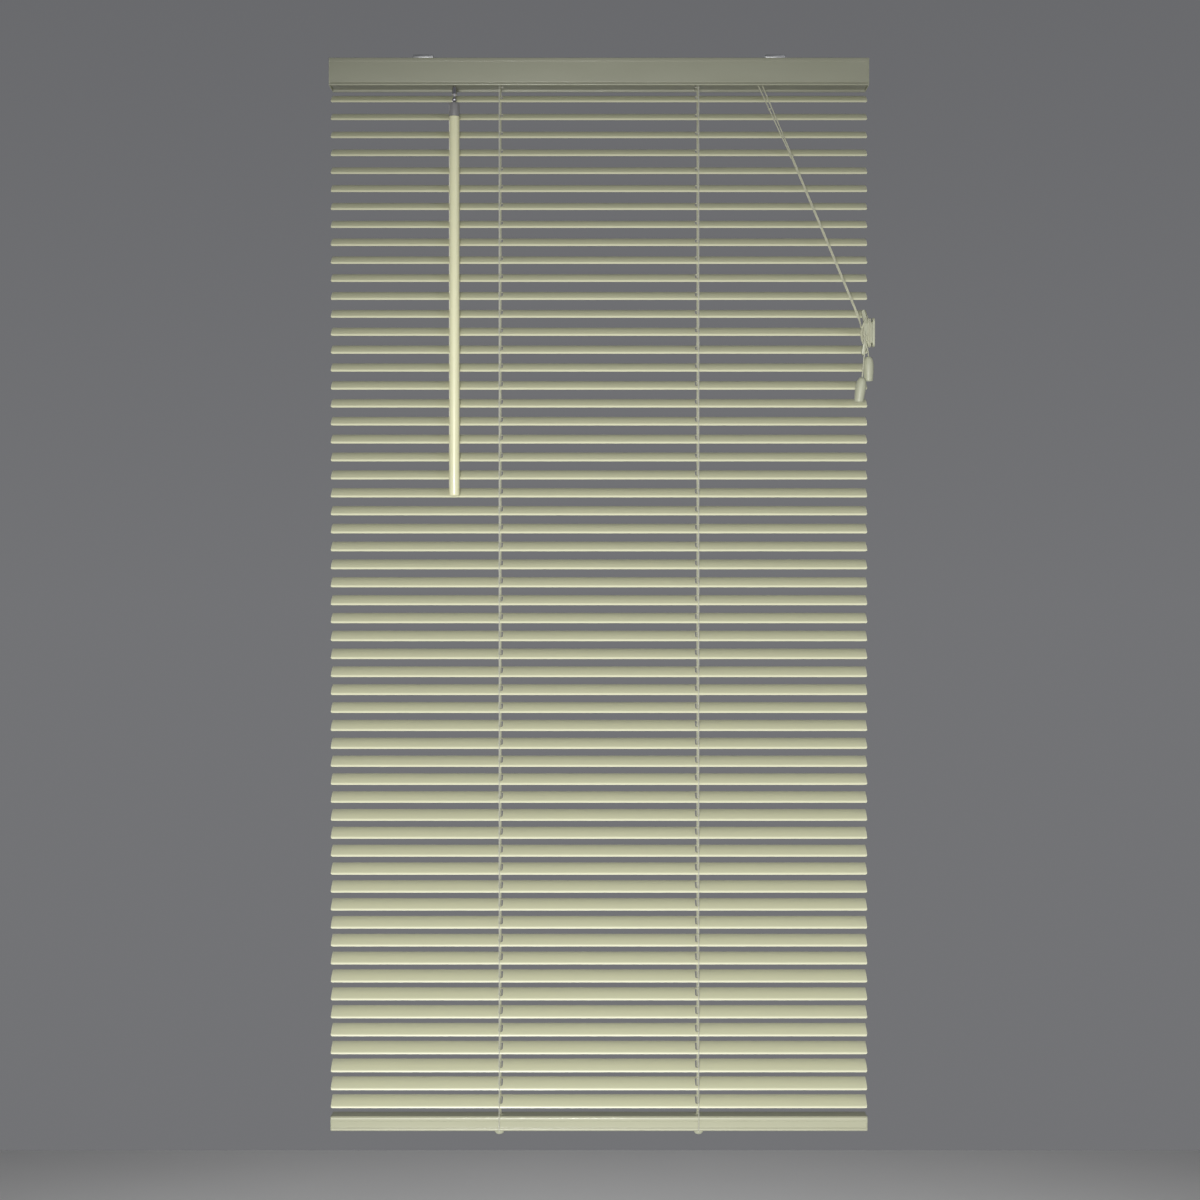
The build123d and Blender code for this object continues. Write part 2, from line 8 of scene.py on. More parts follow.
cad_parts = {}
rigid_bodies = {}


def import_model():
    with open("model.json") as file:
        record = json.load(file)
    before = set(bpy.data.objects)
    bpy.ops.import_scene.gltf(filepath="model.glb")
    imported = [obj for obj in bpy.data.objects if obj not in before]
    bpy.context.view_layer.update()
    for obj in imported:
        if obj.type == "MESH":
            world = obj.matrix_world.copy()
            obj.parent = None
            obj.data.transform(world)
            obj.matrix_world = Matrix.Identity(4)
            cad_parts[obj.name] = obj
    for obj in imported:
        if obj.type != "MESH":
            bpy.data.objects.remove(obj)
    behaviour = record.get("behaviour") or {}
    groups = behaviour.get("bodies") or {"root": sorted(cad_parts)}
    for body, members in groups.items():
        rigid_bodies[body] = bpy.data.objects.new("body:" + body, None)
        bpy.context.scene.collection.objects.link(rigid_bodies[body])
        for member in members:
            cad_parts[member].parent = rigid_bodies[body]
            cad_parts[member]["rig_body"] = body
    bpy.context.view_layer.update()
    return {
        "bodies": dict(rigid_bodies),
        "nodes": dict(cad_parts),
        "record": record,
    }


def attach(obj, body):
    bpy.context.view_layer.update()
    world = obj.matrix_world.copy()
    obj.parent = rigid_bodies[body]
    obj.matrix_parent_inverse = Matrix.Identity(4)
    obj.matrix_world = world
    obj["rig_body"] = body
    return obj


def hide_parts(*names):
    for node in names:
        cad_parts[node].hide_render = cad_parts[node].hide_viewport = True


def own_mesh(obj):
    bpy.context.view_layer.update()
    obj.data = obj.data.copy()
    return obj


# A venetian blind: slats on string ladders between a headrail and a bottom rail, with a tilt wand
# on the left and two pull cords on the right, wound on a cord cleat.
# Lengths in tables and profiles are millimetres and go through MM. Front is -Y.

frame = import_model()
bodies, nodes = frame["bodies"], frame["nodes"]
scene = bpy.context.scene
MM = 0.001
ROOT = "headrail_body"

SLAT_COUNT, SLAT_PITCH, FIRST_SLAT_Z = 57, 21.5, -47.5
SLAT_LENGTH, SLAT_CHORD, SLAT_CROWN, SLAT_TILT = 642.0, 25.0, 1.7, 28.0
CORD_X, LADDER_X = 118.0, 119.3
LADDER_FRONT, LADDER_REAR = -11.8, 12.5
STROKE = 1070.0            # how far the bottom rail rises
STACK_PITCH = 2.4          # slats gathered on the bottom rail
STACK_START = 4.3          # how far the rail rises before it meets the lowest slat
RAIL_HALF, RAIL_BOTTOM = 321, -37.0
BOTTOM_HALF, BOTTOM_TOP, BOTTOM_LOW = 320, -1268.0, -1285.5
CORD = 1.4                 # thickness of the lift cords and pull cords
EXIT_Y = -15.0             # the pull cords leave the headrail here, 4.8 mm apart
RIGHT_EXIT_X, LEFT_EXIT_X = 190.5, 195.3
SHARP = 38                 # an edge that turns by more degrees than this stays sharp


# ---------------------------------------------------------------- materials

def socket(node, name, value):
    node.inputs[name].default_value = value


def remapped(tree, output, from_min, from_max, to_min, to_max):
    """Maps from_min..from_max of a node's output to to_min..to_max, and holds it within them."""
    node = tree.nodes.new("ShaderNodeMapRange")
    socket(node, "From Min", from_min)
    socket(node, "From Max", from_max)
    socket(node, "To Min", to_min)
    socket(node, "To Max", to_max)
    tree.links.new(output, node.inputs["Value"])
    return node.outputs["Result"]


def bumped(tree, height, strength, distance):
    node = tree.nodes.new("ShaderNodeBump")
    socket(node, "Strength", strength)
    socket(node, "Distance", distance)
    tree.links.new(height, node.inputs["Height"])
    return node


def dust_and_shade_cover(tree, place, grit, front, rear, most):
    """How much dust and painted shade lie on a piece: more from front to rear across it, and unevenly."""
    split = tree.nodes.new("ShaderNodeSeparateXYZ")
    tree.links.new(place.outputs["Object"], split.inputs["Vector"])
    cover = tree.nodes.new("ShaderNodeMath")
    cover.operation = "MULTIPLY"
    tree.links.new(remapped(tree, split.outputs["Y"], front, rear, 0.0, most), cover.inputs[0])
    tree.links.new(remapped(tree, grit, 0.25, 0.75, 0.75, 1.25), cover.inputs[1])
    return cover.outputs["Value"]


def surface(name, colour, roughness, *, mottle, blotch, bump, grain=700.0, metallic=0.0,
            stretch=(1, 1, 1), coat=0.0, sheen=0.0, dust_and_shade=None):
    """A Principled material with uneven colour and gloss and a fine grain, all procedural.

    The colour varies by the share mottle over patches of the scale blotch. The last argument paints dust
    together with painted shade: its colour, the Y where it starts, the Y where it is thickest, both in
    metres, and how much it covers there.
    """
    made = bpy.data.materials.new(name)
    made.use_nodes = True
    tree = made.node_tree
    add, link = tree.nodes.new, tree.links.new
    shader = tree.nodes["Principled BSDF"]
    socket(shader, "Metallic", metallic)
    socket(shader, "Coat Weight", coat)
    socket(shader, "Coat Roughness", 0.12)
    socket(shader, "Sheen Weight", sheen)
    place = add("ShaderNodeTexCoord")
    mapping = add("ShaderNodeMapping")
    socket(mapping, "Scale", stretch)
    link(place.outputs["Object"], mapping.inputs["Vector"])

    def noise(scale, detail):
        texture = add("ShaderNodeTexNoise")
        socket(texture, "Scale", scale)
        socket(texture, "Detail", detail)
        link(mapping.outputs["Vector"], texture.inputs["Vector"])
        return texture.outputs["Fac"]

    def between(factor, low, high):
        """Spreads the middle of a noise, where most of it lies, over low..high."""
        return remapped(tree, factor, 0.3, 0.7, low, high)

    def mixed(factor, first, second):
        node = add("ShaderNodeMix")
        node.data_type = "RGBA"
        link(factor, node.inputs["Factor"])
        for index, value in ((6, first), (7, second)):      # the mix node's two colour sockets
            if isinstance(value, tuple):
                socket(node, index, value)
            else:
                link(value, node.inputs[index])
        return node.outputs[2]

    dark = tuple(c * (1 - mottle) for c in colour) + (1,)
    light = tuple(min(1, c * (1 + mottle)) for c in colour) + (1,)
    tone = mixed(between(noise(blotch, 5), 0, 1), dark, light)
    # Dust with painted shade: the colour darkens towards the rear of the piece, by its Y.
    if dust_and_shade:
        dust_and_shade_colour, front, rear, most = dust_and_shade
        tone = mixed(dust_and_shade_cover(tree, place, noise(140, 5), front, rear, most), tone, dust_and_shade_colour)
    link(tone, shader.inputs["Base Color"])
    gloss = between(noise(blotch * 3, 3), roughness * 0.85, roughness * 1.15)
    link(gloss, shader.inputs["Roughness"])
    relief = bumped(tree, noise(grain, 2), bump, 0.0002)
    link(relief.outputs["Normal"], shader.inputs["Normal"])
    return made


def braided(name, colour, strands, pitch, length):
    """Twisted yarns round a cord, from the tube's UV. Pitch and length are in millimetres."""
    made = surface(name, colour, 0.75, mottle=0.07, blotch=300, grain=2500, bump=0.1, sheen=0.25)
    tree = made.node_tree
    add, link = tree.nodes.new, tree.links.new
    uv = add("ShaderNodeTexCoord")
    split = add("ShaderNodeSeparateXYZ")
    link(uv.outputs["UV"], split.inputs["Vector"])
    waves = []
    for hand in (1, -1):
        along, total, wave = (add("ShaderNodeMath") for _ in range(3))
        along.operation, total.operation, wave.operation = "MULTIPLY", "MULTIPLY_ADD", "SINE"
        socket(along, 1, 2 * pi * length / pitch)
        socket(total, 1, hand * 2 * pi * strands)
        link(split.outputs["X"], along.inputs[0])
        link(split.outputs["Y"], total.inputs[0])
        link(along.outputs["Value"], total.inputs[2])
        link(total.outputs["Value"], wave.inputs[0])
        waves.append(wave)
    weave = add("ShaderNodeMath")
    weave.operation = "MAXIMUM"
    link(waves[0].outputs["Value"], weave.inputs[0])
    link(waves[1].outputs["Value"], weave.inputs[1])
    grain = tree.nodes["Bump"]
    relief = bumped(tree, weave.outputs["Value"], 0.5, 0.00015)
    link(grain.outputs["Normal"], relief.inputs["Normal"])
    link(relief.outputs["Normal"], tree.nodes["Principled BSDF"].inputs["Normal"])
    return made


finish = {
    # The slats darken and grey towards their rear edges: dust, and painted shade from the slat above.
    "slat_paint": surface(
        "slat_enamel", (0.70, 0.70, 0.50), 0.36, mottle=0.025, blotch=9, grain=1400, bump=0.05,
        stretch=(0.25, 1, 1), coat=0.15, dust_and_shade=((0.50, 0.50, 0.44, 1), -0.004, 0.011, 0.45),
    ),
    "rail_paint": surface(
        "rail_enamel", (0.46, 0.462, 0.335), 0.34, mottle=0.03, blotch=14, grain=1100, bump=0.06,
        stretch=(0.3, 1, 1), coat=0.2,
    ),
    "cap_plastic": surface(
        "cap_plastic", (0.45, 0.46, 0.345), 0.45, mottle=0.04, blotch=60, grain=1600, bump=0.1,
    ),
    "zinc_steel": surface(
        "zinc_plate", (0.45, 0.455, 0.47), 0.42, metallic=1.0, mottle=0.12, blotch=90, grain=500,
        bump=0.1, stretch=(0.2, 1, 1),
    ),
    "bright_metal": surface(
        "nickel_plate", (0.66, 0.65, 0.69), 0.22, metallic=1.0, mottle=0.06, blotch=120, grain=900,
        bump=0.06,
    ),
    "mechanism_nylon": surface(
        "natural_nylon", (0.80, 0.79, 0.72), 0.42, mottle=0.03, blotch=80, grain=1300, bump=0.08,
    ),
    "collar_plastic": surface(
        "grey_plastic", (0.235, 0.230, 0.235), 0.42, mottle=0.08, blotch=120, grain=1500, bump=0.15,
        stretch=(3, 3, 0.3),
    ),
    "wand_plastic": surface(
        "wand_plastic", (0.76, 0.75, 0.51), 0.33, mottle=0.025, blotch=25, grain=900, bump=0.012,
        stretch=(1, 1, 0.2), coat=0.25,
    ),
    "ladder_string": braided("ladder_string", (0.55, 0.55, 0.47), 3, 2.0, 1220),
    "braided_cord": braided("braided_cord", (0.52, 0.52, 0.39), 4, 3.0, 900),
}

# A darker copy of the rail paint for the headrail: painted shade. Behind the front face it is darker
# still: dust, and painted shade on the floor's underside.
shaded_headrail_enamel = surface(
    "shaded_headrail_enamel", (0.34, 0.345, 0.26), 0.36, mottle=0.04, blotch=14, grain=1100, bump=0.06,
    stretch=(0.3, 1, 1), coat=0.15, dust_and_shade=((0.30, 0.30, 0.26, 1), -0.019, -0.016, 0.25),
)

slot_of = {part["node"]: part["material_slot"] for part in frame["record"]["subparts"]}


def dress(obj, slot_name, material=None):
    """Gives a new piece its finish: the material of that slot, or the one given."""
    obj.data.materials.clear()
    obj.data.materials.append(material or finish[slot_name])
    return obj


def placed(obj, body, slot_name, *stands_for, material=None):
    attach(obj, body)
    dress(obj, slot_name, material)
    if stands_for:
        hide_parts(*stands_for)
    return obj


# ---------------------------------------------------------------- shapes

def linked(name, data, at=(0, 0, 0)):
    obj = bpy.data.objects.new(name, data)
    scene.collection.objects.link(obj)
    obj.location = Vector(at) * MM
    return obj


def from_bmesh(name, bm, sharp=SHARP, at=(0, 0, 0)):
    mesh = bpy.data.meshes.new(name)
    bmesh.ops.recalc_face_normals(bm, faces=bm.faces)
    bm.to_mesh(mesh)
    bm.free()
    return linked(name, smoothed(mesh, sharp), at)


def smoothed(mesh, sharp):
    mesh.polygons.foreach_set("use_smooth", [True] * len(mesh.polygons))
    mesh.set_sharp_from_angle(angle=radians(sharp))
    return mesh


def rounded(points, closed=True, step=18):
    """A flat outline of (a, b, radius) points with each corner turned into an arc."""
    out, count = [], len(points)
    for i, (a, b, radius) in enumerate(points):
        if not radius or (not closed and i in (0, count - 1)):
            out.append((a, b))
            continue
        here = Vector((a, b))
        back = Vector(points[i - 1][:2]) - here
        ahead = Vector(points[(i + 1) % count][:2]) - here
        inner = back.angle(ahead)
        reach = min(radius / tan(inner / 2), back.length * 0.49, ahead.length * 0.49)
        start, end = here + back.normalized() * reach, here + ahead.normalized() * reach
        steps = max(1, round((180 - inner * 180 / pi) / step))
        for k in range(steps + 1):
            t = k / steps
            out.append(tuple((1 - t) ** 2 * start + 2 * t * (1 - t) * here + t * t * end))
    return out


def folded(points, thickness):
    """The outline of a sheet bent along an open path of (a, b, radius) points."""
    line = [Vector(p) for p in rounded(points, closed=False)]
    left, right = [], []
    for i, here in enumerate(line):
        along = (line[min(i + 1, len(line) - 1)] - line[max(i - 1, 0)]).normalized()
        side = Vector((-along.y, along.x)) * thickness / 2
        left.append(tuple(here + side))
        right.append(tuple(here - side))
    return left + right[::-1]


def prism(name, outline, low, high):
    """A profile of (Y, Z) points drawn out along X."""
    bm = bmesh.new()
    ends = [[bm.verts.new((x * MM, y * MM, z * MM)) for y, z in outline] for x in (low, high)]
    count = len(outline)
    for i in range(count):
        j = (i + 1) % count
        bm.faces.new((ends[0][i], ends[0][j], ends[1][j], ends[1][i]))
    for end in ends:
        bm.faces.new(end)
    return from_bmesh(name, bm)


def turned(name, outline, at, segments=48, squeeze=(1, 1), lean=0.0):
    """A solid of revolution about Z from (radius, height) points, then leaned about Y."""
    bm = bmesh.new()
    angles = [2 * pi * k / segments for k in range(segments)]
    rings = []
    for r, z in outline:
        if r == 0:
            rings.append([bm.verts.new((0, 0, z * MM))])
            continue
        rings.append([
            bm.verts.new((r * cos(a) * squeeze[0] * MM, r * sin(a) * squeeze[1] * MM, z * MM))
            for a in angles
        ])
    for low, high in zip(rings, rings[1:]):
        for k in range(segments):
            j = (k + 1) % segments
            loop = [low[k % len(low)], low[j % len(low)], high[j % len(high)], high[k % len(high)]]
            corners = list(dict.fromkeys(loop))
            if len(corners) > 2:
                bm.faces.new(corners)
    obj = from_bmesh(name, bm, at=at)
    obj.rotation_euler.y = radians(lean)
    return obj


def cut(obj, *cutters):
    """Takes boxes and rods, given as meshes, out of a piece."""
    for cutter in cutters:
        change = obj.modifiers.new("cut", "BOOLEAN")
        change.object = cutter
        change.solver = "EXACT"
    applied(obj)
    for cutter in cutters:
        bpy.data.objects.remove(cutter)
    return obj


def applied(obj):
    """Turns a piece's modifiers into its own mesh."""
    bpy.context.view_layer.update()
    shaped = obj.evaluated_get(bpy.context.evaluated_depsgraph_get())
    mesh = bpy.data.meshes.new_from_object(shaped)
    obj.modifiers.clear()
    obj.data = smoothed(mesh, SHARP)
    return obj


def box(x, y, z):
    """A cutter from a (low, high) pair on each axis."""
    bm = bmesh.new()
    size = [(high - low) * MM for low, high in (x, y, z)]
    middle = [(high + low) / 2 * MM for low, high in (x, y, z)]
    bmesh.ops.create_cube(bm, size=1, matrix=Matrix.Translation(middle) @ Matrix.Diagonal((*size, 1)))
    return from_bmesh("cutter", bm)


def upright_rod(radius, x, y, z):
    """A round cutter along Z, with z its (low, high) pair."""
    bm = bmesh.new()
    place = Matrix.Translation((x * MM, y * MM, (z[0] + z[1]) / 2 * MM))
    bmesh.ops.create_cone(
        bm, cap_ends=True, segments=32, radius1=radius * MM, radius2=radius * MM,
        depth=(z[1] - z[0]) * MM, matrix=place,
    )
    return from_bmesh("cutter", bm)


def softened(node, width):
    """The CAD node's own shape with its edges eased by a bevel of that width."""
    source = nodes[node]
    bm = bmesh.new()
    bm.from_mesh(source.data)
    bmesh.ops.remove_doubles(bm, verts=bm.verts, dist=1e-6)
    bmesh.ops.dissolve_limit(bm, angle_limit=radians(1), verts=bm.verts, edges=bm.edges)
    obj = from_bmesh(f"{node}_eased", bm)
    edge = obj.modifiers.new("edge", "BEVEL")
    edge.width = width * MM
    edge.segments = 2
    edge.limit_method = "ANGLE"
    edge.angle_limit = radians(35)
    applied(obj)
    return placed(obj, source["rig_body"], slot_of[node], node)


def tube_mesh(name, line, radius, sides):
    """A round tube along a dense line of points in metres, with its length and girth as UV."""
    bm = bmesh.new()
    uv = bm.loops.layers.uv.new("UVMap")
    lengths = [0.0]
    for a, b in zip(line, line[1:]):
        lengths.append(lengths[-1] + (b - a).length)
    across = Vector((1, 0.013, 0.02))   # a direction that no cord starts along
    rings = []
    for i, here in enumerate(line):
        along = (line[min(i + 1, len(line) - 1)] - line[max(i - 1, 0)]).normalized()
        across = (across - along * across.dot(along)).normalized()
        other = along.cross(across)
        angles = [2 * pi * k / sides for k in range(sides)]
        rings.append([bm.verts.new(here + (across * cos(a) + other * sin(a)) * radius) for a in angles])
    for i, (low, high) in enumerate(zip(rings, rings[1:])):
        for k in range(sides):
            j = (k + 1) % sides
            face = bm.faces.new((low[k], low[j], high[j], high[k]))
            u = (lengths[i] / lengths[-1], lengths[i + 1] / lengths[-1])
            for loop, (s, t) in zip(face.loops, ((0, k), (0, k + 1), (1, k + 1), (1, k))):
                loop[uv].uv = (u[s], t / sides)
    for ring in (rings[0], rings[-1]):
        bm.faces.new(ring)
    return from_bmesh(name, bm, 60)


def centreline(points, smooth):
    """The dense line that Blender gives for a NURBS curve on a cord's route."""
    data = bpy.data.curves.new("line", "CURVE")
    data.dimensions = "3D"
    data.resolution_u = smooth
    route = data.splines.new("NURBS")
    route.points.add(len(points) - 1)
    for point, place in zip(route.points, points):
        point.co = (*(v * MM for v in place), 1)
    route.order_u = 3
    route.use_endpoint_u = True
    line = linked("line", data)
    bpy.context.view_layer.update()
    mesh = bpy.data.meshes.new_from_object(line.evaluated_get(bpy.context.evaluated_depsgraph_get()))
    dense = [v.co.copy() for v in mesh.vertices]
    bpy.data.objects.remove(line)
    return dense


def drawn(name, points, diameter, smooth=8):
    """A length of cord as a tube round its NURBS line."""
    return tube_mesh(name, centreline(points, smooth), diameter / 2 * MM, 10)


# ---------------------------------------------------------------- camera

camera = linked("camera", bpy.data.cameras.new("camera"), (1.2, -2450.0, -650.6))
camera.rotation_euler = (pi / 2, 0, 0)
camera.data.lens = 61.17
camera.data.sensor_width = 36
scene.camera = camera


# ---------------------------------------------------------------- free cords

CLEAT_Y, CLEAT_Z = -32.0, -333.5
CLEAT_STEM_X = 318.3       # the turns cross outside this and pass behind the horns here
JOIN_KNOT = (229.4, -20.4, -121.8)
CLEAT_ENTRY = (308.6, -32.0, -317.0)
SMALL_KNOT_SHARE = 0.33    # of the way from the headrail to the joining knot
TURN_POINTS = 14           # points in one turn round the stem
CROSSOVER = 0.55           # the share of a turn after which it moves on to the next station
CORD_APART = 1.5           # from one pull cord to the other where they run side by side
EIGHT_STEP = 22.5          # degrees from one point of a figure of eight to the next
TASSEL_A, TASSEL_B = (319.8, -30.0, -362.0), (311.0, -39.5, -388.0)


def wound(stations, start, stop):
    """Turns round the cleat's stem. A station is one turn's (X, layer). Layers lie on each other."""
    points = []
    for k in range(round(start * TURN_POINTS), round(stop * TURN_POINTS) + 1):
        turn = k / TURN_POINTS
        index = min(int(turn), len(stations) - 1)
        here, ahead = stations[index], stations[min(index + 1, len(stations) - 1)]
        share = min(1, max(0, (turn - index - CROSSOVER) / (1 - CROSSOVER)))
        x = here[0] + (ahead[0] - here[0]) * share
        layer = here[1] + (ahead[1] - here[1]) * share
        wide, high = 5.5 + 1.5 * layer, 14.6 + 1.6 * layer
        a = 2 * pi * turn
        y = CLEAT_Y - wide * copysign(abs(cos(a)) ** 0.8, cos(a))
        z = CLEAT_Z - high * copysign(abs(sin(a)) ** 0.9, sin(a))
        points.append((x, y + 0.12 * sin(7.1 * turn), z + 0.25 * sin(5.3 * turn + x)))
    return points


def figure_eights(outer, wide, start, stop):
    """Turns that cross outside the cleat and pass behind its horns, from start to stop in degrees."""
    points = []
    for k in range(int((stop - start) / EIGHT_STEP) + 1):
        degrees = start + EIGHT_STEP * k
        a, layer = radians(degrees), degrees / 360
        face = outer - 1.35 * layer + 0.7 * cos(a)
        x = face + (CLEAT_STEM_X - face) * sin(a) ** 2
        y = CLEAT_Y + (wide + 0.9 * layer) * sin(2 * a)
        z = CLEAT_Z + (20.0 - 0.8 * layer) * sin(a)
        points.append((x, y, z))
    return points


def near(a, b, distance):
    """The point a few millimetres from a towards b."""
    a, b = Vector(a), Vector(b)
    return tuple(a + (b - a).normalized() * distance)


def pull_cord(name, exit_x, dx, winding):
    """One of the pair, which lie side by side from the lock to the cleat."""
    knot = (JOIN_KNOT[0] + dx, *JOIN_KNOT[1:])
    entry = (CLEAT_ENTRY[0] + dx, *CLEAT_ENTRY[1:])
    leave = (exit_x, EXIT_Y, RAIL_BOTTOM)
    route = [leave, near(knot, leave, 9), knot, near(knot, entry, 9), near(entry, knot, 10), entry]
    line = centreline(route + winding, 8)
    return tube_mesh(name, line, CORD / 2 * MM, 12), line


right_cord = pull_cord(
    "pull_cord_right_braid", RIGHT_EXIT_X, -CORD_APART / 2,
    [(310.6, -34.0, -326.0), (313.6, -37.5, -335.0), (318.0, -38.6, -342.0)]
    + wound([(322.2, 0), (320.8, 0), (319.4, 0), (320.1, 1)], 0.2, 3.95)
    + figure_eights(313.3, 5.6, -45, 675)
    + [(316.6, -38.8, -350.5), (318.6, -35.0, -356.0), (319.7, -30.8, -359.0), TASSEL_A],
)
left_cord = pull_cord(
    "pull_cord_left_braid", LEFT_EXIT_X, CORD_APART / 2,
    [(309.6, -35.6, -325.0), (311.6, -38.6, -334.0), (316.0, -39.0, -342.0)]
    + wound([(322.2, 1), (320.8, 2), (319.4, 1), (318.7, 2)], 0.2, 3.95)
    + figure_eights(312.6, 7.0, -45, 495)
    + [
        (313.4, -41.6, -325.0), (313.3, -42.6, -333.0), (314.4, -42.6, -345.0), (313.4, -41.6, -362.0),
        TASSEL_B,
    ],
)


def knot_mesh(name, at, size, thickness):
    """An overhand knot pulled small."""
    line = []
    for k in range(61):
        a = 2 * pi * k / 60
        trefoil = Vector((sin(a) + 2 * sin(2 * a), -sin(3 * a) * 1.3, (cos(a) - 2 * cos(2 * a)) * 1.15))
        line.append(trefoil * size * MM + Vector(at) * MM)
    return tube_mesh(name, line, thickness / 2 * MM, 8)


leave_right = Vector((RIGHT_EXIT_X, EXIT_Y, RAIL_BOTTOM))
small_at = leave_right + (Vector(JOIN_KNOT) - leave_right) * SMALL_KNOT_SHARE
joining = placed(knot_mesh("joining_knot", JOIN_KNOT, 0.72, 1.5), ROOT, "braided_cord", "cord_knots")
small = placed(knot_mesh("small_knot", small_at, 0.42, 1.2), ROOT, "braided_cord")

BARREL = [
    (0, 0.2), (1.2, 0.2), (1.6, 0), (2.8, -0.2), (3.6, -0.8), (4.5, -2.1), (5.2, -3.8), (5.75, -6.2),
    (6.1, -9.0), (6.2, -12.2), (6.15, -15.6), (5.9, -19.6), (5.6, -23.4), (5.3, -27.4), (5.1, -28.3),
    (4.7, -28.5), (4.3, -28.1), (4.4, -21), (4.5, -15), (4.4, -10), (3.4, -7), (0, -6.8),
]
tassels = [
    placed(turned("tassel_wall_side", BARREL, TASSEL_A), ROOT, "cap_plastic", "tassels"),
    placed(turned("tassel_front", BARREL, TASSEL_B, lean=8.0), ROOT, "cap_plastic"),
]

for (cord, line), stands_for, leave_x, goes_with in (
    (right_cord, ("pull_cord_right", "cord_winding", "cord_tails"), RIGHT_EXIT_X,
     [joining, small, tassels[0]]),
    (left_cord, ("pull_cord_left",), LEFT_EXIT_X, [tassels[1]]),
):
    placed(cord, ROOT, "braided_cord", *stands_for)


# ---------------------------------------------------------------- slats

LIP, LIP_BEND = 2.6, 0.8                   # width of each edge's lip, and of the bend that begins it
LIP_TURN = 0.6                             # how far the lip turns down, in radians
LIP_CUTS = (0.3, 1.0, 1.75, 2.05, 2.35, 2.65, 3.6)     # from each edge, where the strip can bend
SLOT_X, SLOT_Y = 2.5, 7                    # half the size of the punched slot for a lift cord
RUNG_REACH, RUNG_SAG = 13.4, 0.35          # half a rung's length, and how far its ends hang
THREAD_OFFSET = 0.55                       # from a rung's middle to each of its two threads


def across_slat(s, half):
    """Where a point s from the middle of the strip lies on the slat's curved section."""
    radius = ((SLAT_CHORD / 2) ** 2 + SLAT_CROWN**2) / (2 * SLAT_CROWN)
    y, z, steps = 0.0, SLAT_CROWN / 2, 60
    for k in range(steps):
        along = abs(s) * (k + 0.5) / steps
        turn = along / radius + LIP_TURN * min(1, max(0, (along - half + LIP) / LIP_BEND))
        y += cos(turn) * abs(s) / steps
        z -= sin(turn) * abs(s) / steps
    return copysign(y, s), z


def slat_mesh():
    """One slat about its tilt axis: a curved strip with turned-down lips and two punched slots."""
    half_length, half = SLAT_LENGTH / 2, SLAT_CHORD / 2 + 0.2       # a flat strip is wider than its chord

    def rectangle(middle, x, y, corner, step):
        corners = ((middle - x, -y), (middle + x, -y), (middle + x, y), (middle - x, y))
        return rounded([(*place, corner) for place in corners], step=step)

    outlines = [rectangle(0, half_length, half, 2.2, 15)]
    outlines += [rectangle(middle, SLOT_X, SLOT_Y, 2.45, 18) for middle in (-CORD_X, CORD_X)]
    bm = bmesh.new()
    for outline in outlines:
        ring = [bm.verts.new((x, y, 0)) for x, y in outline]
        for a, b in zip(ring, ring[1:] + ring[:1]):
            bm.edges.new((a, b))
    bmesh.ops.triangle_fill(bm, edges=bm.edges, use_beauty=True)
    cuts = [-half + d for d in LIP_CUTS]
    cuts += [-half + LIP_CUTS[-1] + (half - LIP_CUTS[-1]) * k / 5 for k in range(1, 6)]
    for y in sorted(set(cuts + [-c for c in cuts])):
        whole = list(bm.verts) + list(bm.edges) + list(bm.faces)
        bmesh.ops.bisect_plane(bm, geom=whole, plane_co=(0, y, 0), plane_no=(0, 1, 0))
    tilt = Matrix.Rotation(radians(SLAT_TILT), 4, "X")
    for v in bm.verts:
        y, z = across_slat(v.co.y, half)
        v.co = tilt @ Vector((v.co.x * MM, y * MM, z * MM))
    bmesh.ops.recalc_face_normals(bm, faces=bm.faces)
    bmesh.ops.solidify(bm, geom=list(bm.faces), thickness=0.3 * MM)
    mesh = bpy.data.meshes.new("slat")
    bmesh.ops.recalc_face_normals(bm, faces=bm.faces)
    bm.to_mesh(mesh)
    bm.free()
    return smoothed(mesh, 40)


def rung_mesh():
    """The two cross threads under a slat on each ladder."""
    tilt = Matrix.Rotation(radians(SLAT_TILT), 4, "X")
    parts = bmesh.new()
    for side in (-1, 1):
        for dx in (-THREAD_OFFSET, THREAD_OFFSET):
            line = []
            for s in (k / 8 for k in range(-8, 9)):
                x = side * LADDER_X + dx * (1 - abs(s) ** 4)
                line.append(tilt @ Vector((x, s * RUNG_REACH, -1.5 - RUNG_SAG * s * s)) * MM)
            thread = tube_mesh("thread", line, 0.3 * MM, 6)
            parts.from_mesh(thread.data)
            bpy.data.objects.remove(thread)
    mesh = bpy.data.meshes.new("rungs")
    parts.to_mesh(mesh)
    parts.free()
    return smoothed(mesh, 60)


def gathers(obj, number):
    """The slat rises with the bottom rail once the slats below it are gathered."""
    start = STACK_START + (SLAT_COUNT - number) * (SLAT_PITCH - STACK_PITCH)
    if start >= STROKE:
        return
    lift = obj.constraints.new("TRANSFORM")
    lift.target = bodies["bottom_rail_body"]
    lift.map_from = lift.map_to = "LOCATION"
    lift.mix_mode = "ADD"
    lift.from_min_z, lift.from_max_z = start * MM, STROKE * MM
    lift.to_min_z, lift.to_max_z = 0, (STROKE - start) * MM


